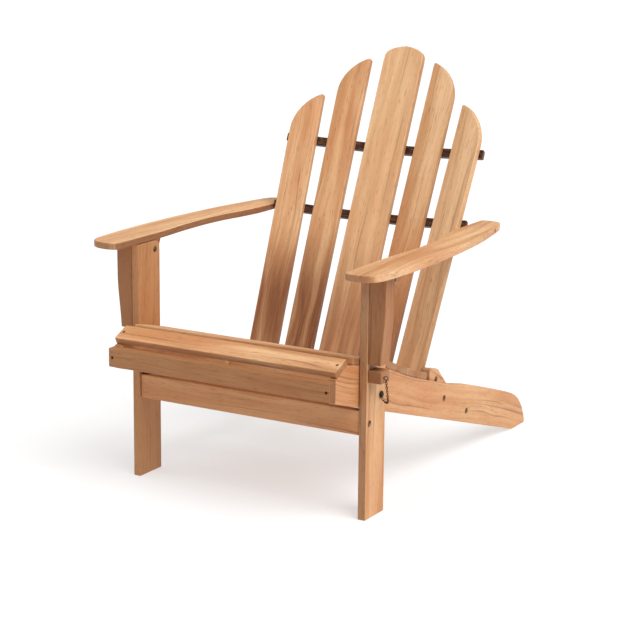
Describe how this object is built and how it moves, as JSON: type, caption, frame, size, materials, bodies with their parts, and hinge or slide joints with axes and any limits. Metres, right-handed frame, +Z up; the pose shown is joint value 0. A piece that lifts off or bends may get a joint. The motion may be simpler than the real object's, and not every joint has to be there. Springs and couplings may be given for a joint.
{
  "type": "folding adirondack chair",
  "caption": "Slatted wooden garden armchair with a fan-shaped reclined back, broad flat arms and long sloping rear legs. Front legs, back and arms fold forward once two wooden pegs are pulled.",
  "frame": {"origin": "on the floor, under the middle of the chair's box", "axes": "+Z up, the chair faces -Y, +X to the sitter's left"},
  "size_m": [0.709, 0.9422, 0.8934],
  "materials": {
    "wood": "oiled hardwood, satin, honey brown with darker streaks",
    "steel": "darkened zinc plating"
  },
  "bodies": {
    "seat_frame": {"front_slat": "wood", "nose_slat": "wood", "seat_slat_1": "wood", "seat_slat_2": "wood", "seat_slat_3": "wood", "seat_slat_4": "wood", "seat_slat_5": "wood", "seat_slat_6": "wood", "seat_slat_7": "wood", "rear_cross_rail": "wood", "stringer_left": "wood", "pivot_lug_left": "wood", "lug_bolt_front_left": "steel", "lug_bolt_rear_left": "steel", "leg_pivot_bolt_left": "steel", "leg_washer_left": "steel", "stringer_right": "wood", "pivot_lug_right": "wood", "lug_bolt_front_right": "steel", "lug_bolt_rear_right": "steel", "leg_pivot_bolt_right": "steel", "leg_washer_right": "steel"},
    "front_legs": {"front_apron": "wood", "leg_left": "wood", "apron_bolt_left": "steel", "arm_leg_bolt_left": "steel", "arm_bracket_left": "wood", "chain_left": "steel", "leg_right": "wood", "apron_bolt_right": "steel", "arm_leg_bolt_right": "steel", "arm_bracket_right": "wood", "chain_right": "steel"},
    "back": {"back_slat_1": "wood", "back_slat_2": "wood", "back_slat_3": "wood", "back_slat_4": "wood", "back_slat_5": "wood", "upper_crossbar": "wood", "middle_crossbar": "wood", "bottom_crossbar": "wood", "back_pivot_bolt_left": "steel", "back_pivot_bolt_right": "steel"},
    "arm_left": {"arm_left": "wood", "arm_cleat_left": "wood", "arm_back_bolt_left": "steel"},
    "arm_right": {"arm_right": "wood", "arm_cleat_right": "wood", "arm_back_bolt_right": "steel"},
    "peg_left": {"locking_peg_left": "wood", "peg_eye_left": "steel"},
    "peg_right": {"locking_peg_right": "wood", "peg_eye_right": "steel"}
  },
  "joints": [
    {"name": "back_fold", "type": "hinge", "parent": "seat_frame", "child": "back", "pos_m": [0, 0.0259, 0.2063], "axis": [1, 0, 0], "range_deg": [0, 46.6]},
    {"name": "front_legs_fold", "type": "hinge", "parent": "seat_frame", "child": "front_legs", "pos_m": [0, -0.2984, 0.2535], "axis": [1, 0, 0], "range_deg": [0, 72]},
    {"name": "arm_left_fold", "type": "hinge", "parent": "front_legs", "child": "arm_left", "pos_m": [0.2968, -0.2962, 0.4935], "axis": [1, 0, 0], "range_deg": [-51, 0]},
    {"name": "arm_right_fold", "type": "hinge", "parent": "front_legs", "child": "arm_right", "pos_m": [-0.2968, -0.2962, 0.4935], "axis": [1, 0, 0], "range_deg": [-51, 0]},
    {"name": "peg_left_pull", "type": "slide", "parent": "front_legs", "child": "peg_left", "axis": [1, 0, 0], "range_m": [0, 0.03]},
    {"name": "peg_right_pull", "type": "slide", "parent": "front_legs", "child": "peg_right", "axis": [-1, 0, 0], "range_m": [0, 0.03]}
  ],
  "couplings": [
    {"joint": "front_legs_fold", "follows": "back_fold", "ratio": 1.5448},
    {"joint": "arm_left_fold", "follows": "back_fold", "ratio": -1.0871},
    {"joint": "arm_right_fold", "follows": "back_fold", "ratio": -1.0871}
  ]
}
